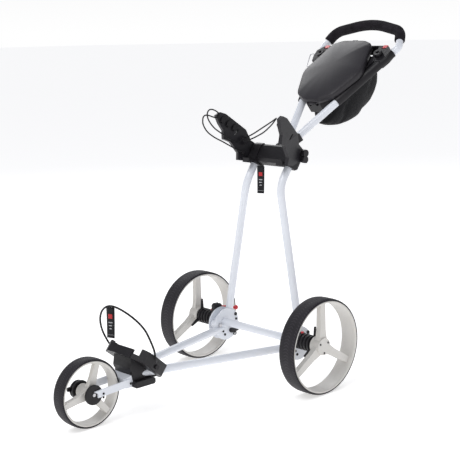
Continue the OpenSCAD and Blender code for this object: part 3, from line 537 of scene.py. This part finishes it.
def foam_grip(material):
    """Foam sleeve over the handle's bow: soft ends, a shade fuller where the hands hold it."""
    start = BOW_SIDE + GRIP_FROM_BEND * unit(BOW_CORNER - BOW_SIDE)
    half = [start, BOW_CORNER, BOW_TOP]
    corners = half + [Vector((-p.x, p.y, p.z)) for p in reversed(half[:2])]
    line = bent_route(corners, GRIP_BENDS, GRIP_STEP)
    total = route_length(line)
    bore = TUBE_D / 2 + GRIP_BORE_GAP
    outer = GRIP_D / 2
    gone = 0.0
    radii = []
    for i, p in enumerate(line):
        gone += (p - line[i - 1]).length if i else 0.0
        from_end = min(gone, total - gone)
        dip = max(0.0, 1 - from_end / GRIP_END_ROUND)
        corner = GRIP_END_ROUND * (1 - math.sqrt(max(0.0, 1 - dip * dip)))
        swell = GRIP_SWELL * math.sin(math.pi * gone / total)
        radii.append(outer - GRIP_END_SHARE * corner - GRIP_SWELL + swell)
    frames = rings_along(line)
    layers = [(line[0], frames[0], bore)]
    layers += [(p, f, r) for p, f, r in zip(line, frames, radii)]
    layers += [(line[-1], frames[-1], bore)]
    layers += [(p, f, bore) for p, f in list(zip(line, frames))[-4:0:-4]]
    points = []
    uvs = []
    faces = []
    for row, (p, (a, b), r) in enumerate(layers):
        for k in range(GRIP_SIDES):
            t = 2 * math.pi * k / GRIP_SIDES
            points.append(on_handle(*(p + r * (math.cos(t) * a + math.sin(t) * b))))
            uvs.append((row * 0.002, k / GRIP_SIDES))
    for row in range(len(layers)):
        after = (row + 1) % len(layers)
        for k in range(GRIP_SIDES):
            k2 = (k + 1) % GRIP_SIDES
            faces.append((row * GRIP_SIDES + k, row * GRIP_SIDES + k2,
                          after * GRIP_SIDES + k2, after * GRIP_SIDES + k))
    grip = make_object("foam_sleeve", points, faces, uvs, material)
    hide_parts("foam_grip")
    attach(grip, "handle")


# ---- storage pouch, lid and tags ------------------------------------------------------

# Outlines of the pouch at falling heights: height, front and rear end, half widths there
POUCH_LAYERS = [
    (-20, 204, 474, 46, 101), (-40, 190, 478, 44, 100), (-60, 180, 479, 43, 97),
    (-84, 200, 471, 45, 90), (-106, 230, 458, 46, 80), (-126, 266, 436, 42, 66),
    (-140, 304, 412, 34, 50), (-146, 340, 384, 16, 22),
]
POUCH_FOOT = (0, 362, -147)
POUCH_ROUND = 0.62
POUCH_SIDES = 72
POUCH_STEPS = 4
POUCH_PINNED = 5
POUCH_CAP = 7.0 * MM


def pouch_outline(layer):
    """The points round one layer, in the handle's frame."""
    height, front, rear, front_half, rear_half = layer
    ring = []
    for k in range(POUCH_SIDES):
        t = 2 * math.pi * k / POUCH_SIDES
        c = math.copysign(abs(math.cos(t)) ** POUCH_ROUND, math.cos(t))
        d = math.copysign(abs(math.sin(t)) ** POUCH_ROUND, math.sin(t))
        share = (1 + c) / 2
        half = front_half + (rear_half - front_half) * share
        ring.append(Vector((half * d, front + (rear - front) * share, height)))
    return ring


def storage_pouch(material):
    """Soft pouch under the console: pinned round its rim and let sag as cloth."""
    fine = []
    for above, below in zip(POUCH_LAYERS, POUCH_LAYERS[1:]):
        for k in range(POUCH_STEPS):
            fine.append([a + (b - a) * k / POUCH_STEPS for a, b in zip(above, below)])
    fine.append(POUCH_LAYERS[-1])
    points = []
    uvs = []
    for layer in fine:
        ring = pouch_outline(layer)
        for k, p in enumerate(ring):
            points.append(on_handle(*p))
            uvs.append((k / POUCH_SIDES * 0.72, layer[0] * MM * 1.6))
    faces = []
    for row in range(len(fine) - 1):
        for k in range(POUCH_SIDES):
            here = row * POUCH_SIDES + k
            beside = row * POUCH_SIDES + (k + 1) % POUCH_SIDES
            faces.append((here, here + POUCH_SIDES, beside + POUCH_SIDES, beside))
    last = (len(fine) - 1) * POUCH_SIDES
    points.append(on_handle(*POUCH_FOOT))
    uvs.append((0.36, -0.25))
    for k in range(POUCH_SIDES):
        faces.append((last + k, len(points) - 1, last + (k + 1) % POUCH_SIDES))
    pouch = make_object("storage_pouch", points, faces, uvs, material)
    hang(pouch, list(range(POUCH_PINNED * POUCH_SIDES)), POUCH_CAP)
    shell = pouch.modifiers.new("cloth", "SOLIDIFY")
    shell.thickness = 0.0014
    shell.offset = -1
    rounder = pouch.modifiers.new("round", "SUBSURF")
    rounder.levels = 1
    rounder.render_levels = 1
    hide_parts("net_bag")
    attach(pouch, "handle")
    return pouch


CLOTH_FRAMES = 20


def hang(obj, pinned, cap):
    """Lets obj sag as cloth from its pinned points, and keeps each point within cap of its start."""
    rest = [v.co.copy() for v in obj.data.vertices]
    group = obj.vertex_groups.new(name="pin")
    group.add(pinned, 1.0, "REPLACE")
    cloth = obj.modifiers.new("Cloth", "CLOTH")
    cloth.settings.quality = 6
    cloth.settings.mass = 0.25
    cloth.settings.tension_stiffness = 18
    cloth.settings.compression_stiffness = 9
    cloth.settings.bending_stiffness = 1.2
    cloth.settings.vertex_group_mass = "pin"
    cloth.settings.use_pressure = True
    cloth.settings.uniform_pressure_force = 0.35
    cloth.point_cache.frame_start = 1
    cloth.point_cache.frame_end = CLOTH_FRAMES
    for number in range(1, CLOTH_FRAMES + 1):
        bpy.context.scene.frame_set(number)
    graph = bpy.context.evaluated_depsgraph_get()
    settled = [v.co.copy() for v in obj.evaluated_get(graph).to_mesh().vertices]
    obj.modifiers.remove(cloth)
    bpy.context.scene.frame_set(1)
    for vertex, start, end in zip(obj.data.vertices, rest, settled):
        moved = end - start
        if moved.length > cap:
            moved = moved.normalized() * cap
        vertex.co = start + moved
    obj.data.update()


LID_OUTLINE = [
    (-30, 190), (30, 190), (80, 219), (126, 327), (101, 412), (84, 468), (46, 484),
    (-46, 484), (-84, 468), (-101, 412), (-126, 327), (-80, 219),
]
LID_MIDDLE = (0, 345)
# Height above the console's rim and share of the outline, from the outer skin's foot to its
# crown. The inner skin is worked out from it.
LID_OUTER = [
    (1.0, 0.995), (1.4, 1.0), (12.0, 1.0), (19.0, 0.997), (20.5, 0.985), (22.0, 0.955), (24.5, 0.90),
    (27.5, 0.81), (30.4, 0.70), (33.0, 0.57), (35.0, 0.43), (36.3, 0.29), (37.0, 0.14), (37.1, 0.04),
]
LID_WALL = 3.0
LID_INSET = 0.03
CONSOLE_RIM = 18.0
CORNER_CUTS = 3
CORNER_SHARE = 0.12
# The lid's knuckle lies on its hinge line, between the console's lugs
HINGE_V = 190
HINGE_W = 20
KNUCKLE_HALF = 9.9
KNUCKLE_R = 4.9
KNUCKLE_EDGE = 0.5


def rounded(outline):
    """The outline with each corner cut back again and again, which rounds it."""
    for _ in range(CORNER_CUTS):
        cut = []
        for a, b in zip(outline, outline[1:] + outline[:1]):
            for t in (CORNER_SHARE, 1 - CORNER_SHARE):
                cut.append((a[0] + (b[0] - a[0]) * t, a[1] + (b[1] - a[1]) * t))
        outline = cut
    return outline


def lid_shell(material):
    """Satin lid: an upright foot, a rounded shoulder and a low crown."""
    outline = rounded(LID_OUTLINE)
    inner = [(max(h - LID_WALL, 1.0), max(k - LID_INSET, 0.01)) for h, k in reversed(LID_OUTER)]
    rings = LID_OUTER + inner
    n = len(outline)
    points = []
    for height, share in rings:
        for x, y in outline:
            u = LID_MIDDLE[0] + (x - LID_MIDDLE[0]) * share
            v = LID_MIDDLE[1] + (y - LID_MIDDLE[1]) * share
            points.append(on_handle(u, v, CONSOLE_RIM + height))
    faces = []
    for row in range(len(rings)):
        if row == len(LID_OUTER) - 1:
            continue
        after = (row + 1) % len(rings)
        for k in range(n):
            k2 = (k + 1) % n
            faces.append((row * n + k, row * n + k2, after * n + k2, after * n + k))
    crown = (len(LID_OUTER) - 1) * n
    faces.append(tuple(crown + k for k in range(n)))
    faces.append(tuple(crown + n + k for k in reversed(range(n))))
    lid = make_object("lid_shell", points, faces, None, material)
    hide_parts("console_lid")
    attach(lid, "lid")
    shoulder = KNUCKLE_HALF - KNUCKLE_EDGE
    stations = (-KNUCKLE_HALF, -shoulder, 0, shoulder, KNUCKLE_HALF)
    knuckle_line = [on_handle(u, HINGE_V, HINGE_W) for u in stations]
    end_r = KNUCKLE_R - KNUCKLE_EDGE
    radii = (end_r, KNUCKLE_R, KNUCKLE_R, KNUCKLE_R, end_r)
    knuckle = sweep("lid_knuckle", knuckle_line, lambda i, t: radii[i] * MM, 32, material)
    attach(knuckle, "lid")
    return lid


def box_piece(name, centre, axes, sizes, edge, material, body):
    """A small block with round edges, at centre, along the three axes."""
    points = []
    for i in (-0.5, 0.5):
        for j in (-0.5, 0.5):
            for k in (-0.5, 0.5):
                offset = [s * size * axis for s, size, axis in zip((i, j, k), sizes, axes)]
                points.append(centre + offset[0] + offset[1] + offset[2])
    faces = [(0, 1, 3, 2), (4, 6, 7, 5), (0, 4, 5, 1), (2, 3, 7, 6), (0, 2, 6, 4), (1, 5, 7, 3)]
    block = make_object(name, points, faces, None, material)
    bevel = block.modifiers.new("edges", "BEVEL")
    bevel.width = edge
    bevel.segments = 3
    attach(block, body)
    return block


def embroidery(name, colour):
    s = Surface(name, colour, 0.7, Sheen_Weight=0.4, Sheen_Roughness=0.4)
    threads = s.math("SINE", s.math("MULTIPLY", s.noise(500, 1, stretch=(1, 1, 6)), 40))
    s.tint(threads, 0.8, 1.15, at=(0.0, 1.0))
    s.relief(threads, 0.0001)
    return s.material


TAG_THICK = 0.9 * MM
TAG_ROWS = 46
TAG_BULGE = 1.4 * MM
TAG_SWAY = 0.003
TAG_TOP_ROUND = 0.004
TAG_BARS = 3
TAG_EDGE_GAP = 0.0008
CAD_TAG_THICK = 0.0023


def tag_swell(down):
    """How far each layer of a doubled tag stands from its middle, at down from 0 to 1."""
    return TAG_BULGE * (0.35 + 1.6 * (1 - down) ** 3 + 0.5 * math.sin(math.pi * down))


def webbing_tag(node, body, material, patch_red, patch_grey):
    """A doubled strip of webbing with a sewn end and a plain patch, hung from its top."""
    low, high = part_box(node)
    long = high.z - low.z
    middle = (low + high) / 2
    span_x = high.x - low.x
    span_y = high.y - low.y
    turn = math.atan2(span_y - CAD_TAG_THICK, span_x)
    along = Vector((math.cos(turn), math.sin(turn), 0))
    outward = Vector((math.sin(turn), -math.cos(turn), 0))
    width = span_x / math.cos(turn) - TAG_EDGE_GAP
    top = Vector((middle.x, middle.y, high.z))
    path = []
    for i in range(TAG_ROWS + 1):
        t = i / TAG_ROWS
        side = 1 if t < 0.5 else -1
        down = abs(2 * t - 1)
        near_top = max(0.0, 1 - down * long / TAG_TOP_ROUND)
        round_top = math.sqrt(max(0.0, 1 - near_top ** 2))
        path.append((side * tag_swell(down) * round_top, -down * long))
    points = []
    uvs = []
    gone = 0.0
    for i, (out, drop) in enumerate(path):
        if i:
            gone += math.hypot(out - path[i - 1][0], drop - path[i - 1][1])
        sway = TAG_SWAY * (drop / long) ** 2
        for side in (-0.5, -0.25, 0, 0.25, 0.5):
            at = top + side * width * along + (out + sway) * outward + Vector((0, 0, drop))
            points.append(at)
            uvs.append((side * width, gone))
    faces = []
    for i in range(TAG_ROWS):
        for k in range(4):
            a = i * 5 + k
            faces.append((a, a + 1, a + 6, a + 5))
    tag = make_object(node + "_strip", points, faces, uvs, material)
    tag.modifiers.new("thick", "SOLIDIFY").thickness = TAG_THICK
    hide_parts(node)
    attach(tag, body)
    axes = (along, outward, Vector((0, 0, 1)))

    def on_front(down):
        out = tag_swell(down) + TAG_SWAY * down ** 2 + TAG_THICK * 0.5
        return top + out * outward + Vector((0, 0, -down * long))

    box_piece(node + "_square", on_front(0.30), axes, (width * 0.52, 0.9 * MM, width * 0.52),
              0.3 * MM, patch_red, body)
    for k in range(TAG_BARS):
        size = (width * (0.52 - 0.1 * k), 0.8 * MM, 2.6 * MM)
        box_piece(f"{node}_bar_{k + 1}", on_front(0.50 + 0.10 * k), axes, size,
                  0.3 * MM, patch_grey, body)
    box_piece(node + "_seam", on_front(0.90), axes, (width * 0.86, 0.7 * MM, 0.8 * MM),
              0.25 * MM, patch_grey, body)


# ---- stage ------------------------------------------------------------------------

def area_light(name, at, aim, size, power):
    data = bpy.data.lights.new(name, "AREA")
    data.energy = power
    data.size = size
    light = bpy.data.objects.new(name, data)
    light.location = at
    light.rotation_euler = (Vector(aim) - Vector(at)).to_track_quat("-Z", "Y").to_euler()
    bpy.context.scene.collection.objects.link(light)


FLOOR_HALF = 80
FLOOR_GLOW = 0.57
# The studio's brightness from the horizon upwards: height as a share of straight up, colour
SKY = [(0.0, (1.0, 1.0, 1.0)), (0.10, (0.9, 0.9, 0.91)), (0.45, (0.36, 0.37, 0.40))]


def make_stage():
    floor_material = bpy.data.materials.new("pale_floor")
    floor_material.use_nodes = True
    shader = floor_material.node_tree.nodes["Principled BSDF"]
    shader.inputs["Base Color"].default_value = (0.9, 0.9, 0.9, 1)
    shader.inputs["Roughness"].default_value = 1.0
    shader.inputs["Emission Color"].default_value = (1.0, 0.99, 0.97, 1)
    shader.inputs["Emission Strength"].default_value = FLOOR_GLOW
    shader.inputs["Specular IOR Level"].default_value = 0.0
    half = FLOOR_HALF
    corners = [(-half, -half, 0), (half, -half, 0), (half, half, 0), (-half, half, 0)]
    floor = make_object("floor", corners, [(0, 1, 2, 3)], None, floor_material, smooth=False)
    world = bpy.data.worlds.new("studio")
    world.use_nodes = True
    tree = world.node_tree
    place = tree.nodes.new("ShaderNodeTexCoord")
    parts = tree.nodes.new("ShaderNodeSeparateXYZ")
    ramp = tree.nodes.new("ShaderNodeValToRGB")
    ramp.color_ramp.elements.remove(ramp.color_ramp.elements[1])
    ramp.color_ramp.elements[0].position = SKY[0][0]
    ramp.color_ramp.elements[0].color = (*SKY[0][1], 1)
    for position, colour in SKY[1:]:
        ramp.color_ramp.elements.new(position).color = (*colour, 1)
    tree.links.new(place.outputs["Generated"], parts.inputs[0])
    tree.links.new(parts.outputs[2], ramp.inputs[0])
    tree.links.new(ramp.outputs[0], tree.nodes["Background"].inputs["Color"])
    bpy.context.scene.world = world
    bpy.context.scene.view_settings.view_transform = "Standard"
    area_light("key", (0.4, -2.6, 4.2), (0, 0, 0.5), 2.4, 78)
    area_light("back", (-2.8, 1.8, 3.2), (0, 0, 0.5), 2.4, 45)


# ---- the trolley ---------------------------------------------------------------------

make_camera()
braid_material = braid()
braided_cord("lower_cord", LOWER_CORD, LOWER_CORD_D, "frame", braid_material)
braided_cord("cradle_strap", STRAP_CORD, UPPER_CORD_D, "cradle", braid_material)
braided_cord("cradle_loop", LOOP_CORD, UPPER_CORD_D, "cradle", braid_material)

paint = white_paint()
rim_plastic = white_rim_plastic()
black = black_moulding()
arm_black = black_moulding("black_arm", (0.015, 0.014, 0.017), 0.38)
red = red_plastic()
steel = turned_steel()
lid_grey = lid_plastic()
cloth = bag_mesh()
tag_webbing = webbing()

SLOT_LOOKS = {
    "tube_white": (paint, 0.0006),
    "rim_white": (rim_plastic, 0.0016),
    "black_plastic": (black, 0.0014),
    "lid_grey": (lid_grey, 0.0008),
    "steel": (steel, 0.0004),
    "red_plastic": (red, 0.0010),
    "bag_cloth": (cloth, 0.0),
    "webbing": (tag_webbing, 0.0),
}
for part in RECORD["subparts"]:
    name = part["node"]
    if name.startswith("cradle_arm"):
        dress(name, arm_black, 0.0014)
        continue
    if part["material_slot"] == "tyre":
        low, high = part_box(name)
        centre = (low + high) / 2
        rubber = tyre_rubber(name + "_rubber", centre, (high.z - low.z) / 2, (high.x - low.x) / 2)
        dress(name, rubber, 0.0012)
    elif part["material_slot"] in SLOT_LOOKS:
        dress(name, *SLOT_LOOKS[part["material_slot"]])

foam_grip(foam_rubber())
storage_pouch(cloth)
lid_shell(lid_grey)
patch_red = embroidery("red_thread", (0.55, 0.016, 0.022))
patch_grey = embroidery("pale_thread", (0.55, 0.55, 0.57))
webbing_tag("lower_tag", "frame", tag_webbing, patch_red, patch_grey)
webbing_tag("upper_tag", "upright", tag_webbing, patch_red, patch_grey)
make_stage()
